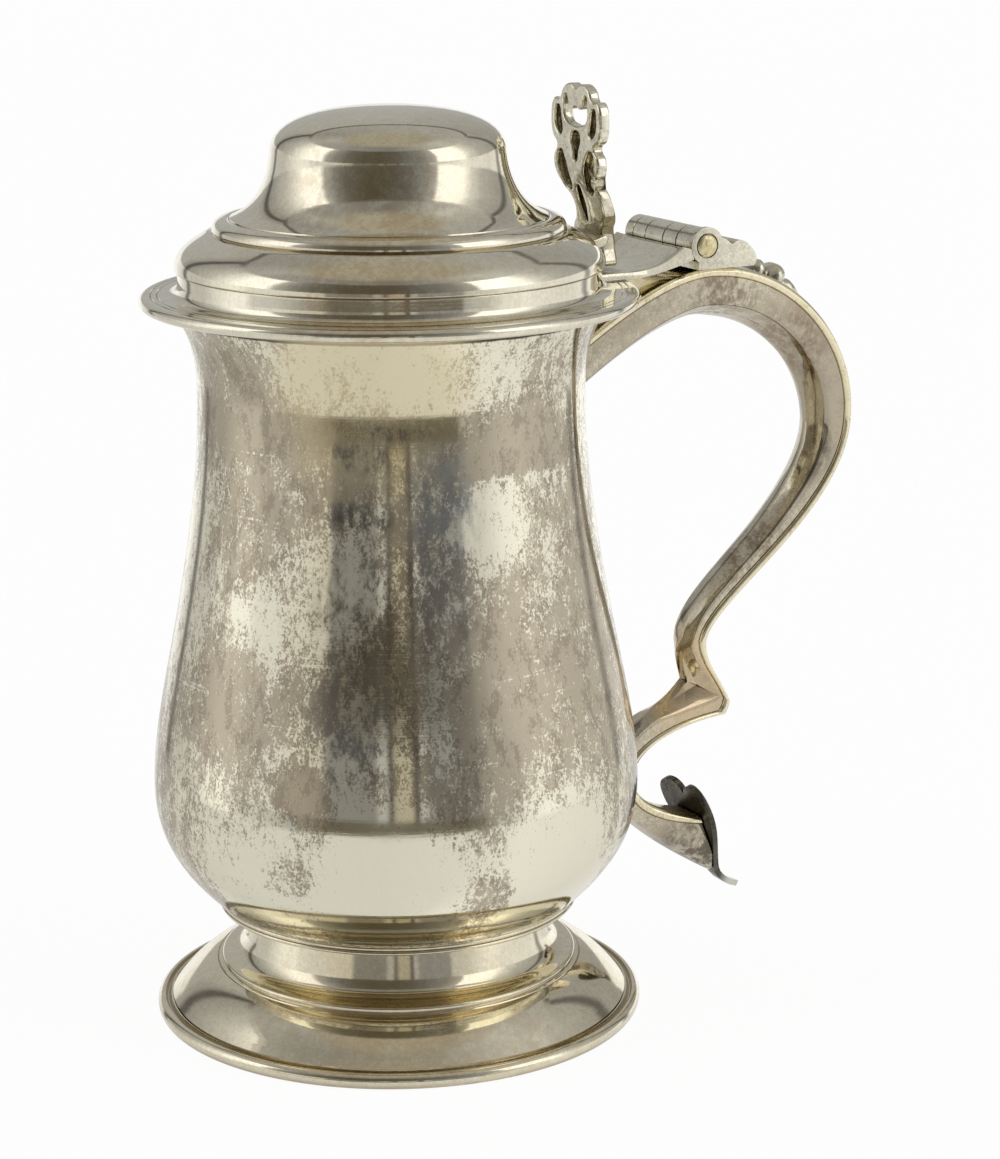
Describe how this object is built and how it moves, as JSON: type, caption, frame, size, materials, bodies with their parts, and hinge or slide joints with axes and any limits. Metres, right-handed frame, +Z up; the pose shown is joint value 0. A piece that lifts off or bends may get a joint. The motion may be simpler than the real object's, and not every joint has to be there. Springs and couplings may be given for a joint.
{
  "type": "lidded tankard",
  "caption": "Baluster silver tankard on a spread spool foot, with a hinged stepped dome lid, pierced thumbpiece and hollow double scroll handle ending in a heart; holds a drink.",
  "frame": {"origin": "on the table plane under the centre of the overall box: the vessel axis stands 33.75 mm to the -X side of it", "axes": "+Z up along the vessel axis, +X from the vessel axis towards the handle, +Y along the lid's hinge axis"},
  "size_m": [0.1836, 0.116, 0.217],
  "materials": {
    "body_silver": "old polished sterling silver, mottled with warm brown and grey tarnish, fine scratches",
    "foot_silver": "old polished sterling silver, warm tarnish in the hollows",
    "lid_silver": "old polished sterling silver, warm tarnish in the mouldings",
    "handle_silver": "old silver, brown tarnish on the channel sides",
    "strap_silver": "old silver rubbed pale and slightly yellow",
    "hinge_silver": "old silver, rubbed on the edges and dark in the joints",
    "thumb_silver": "cast and pierced silver, dark inside the piercings",
    "heart_silver": "old silver gone dark grey brown",
    "pin_brass": "rubbed brass"
  },
  "bodies": {
    "vessel": {"body": "body_silver", "foot": "foot_silver", "foot_collar": "foot_silver", "foot_rim": "foot_silver", "handle_lower_channel": "handle_silver", "handle_lower_strap": "strap_silver", "handle_upper_channel": "handle_silver", "handle_upper_strap": "strap_silver", "heart_terminal": "heart_silver", "hinge_block": "hinge_silver", "hinge_drop": "hinge_silver", "hinge_knuckle_far": "hinge_silver", "hinge_knuckle_middle": "hinge_silver", "hinge_knuckle_near": "hinge_silver", "hinge_pin": "pin_brass"},
    "lid": {"lid_band": "lid_silver", "lid_bezel": "lid_silver", "lid_dome": "lid_silver", "lid_flange": "lid_silver", "lid_hinge_leaf": "hinge_silver", "lid_knuckle_far": "hinge_silver", "lid_knuckle_near": "hinge_silver", "thumbpiece": "thumb_silver"}
  },
  "joints": [
    {"name": "lid_hinge", "type": "hinge", "parent": "vessel", "child": "lid", "pos_m": [0.04245, 0, 0.1789], "axis": [0, 1, 0], "range_deg": [0, 100]}
  ]
}
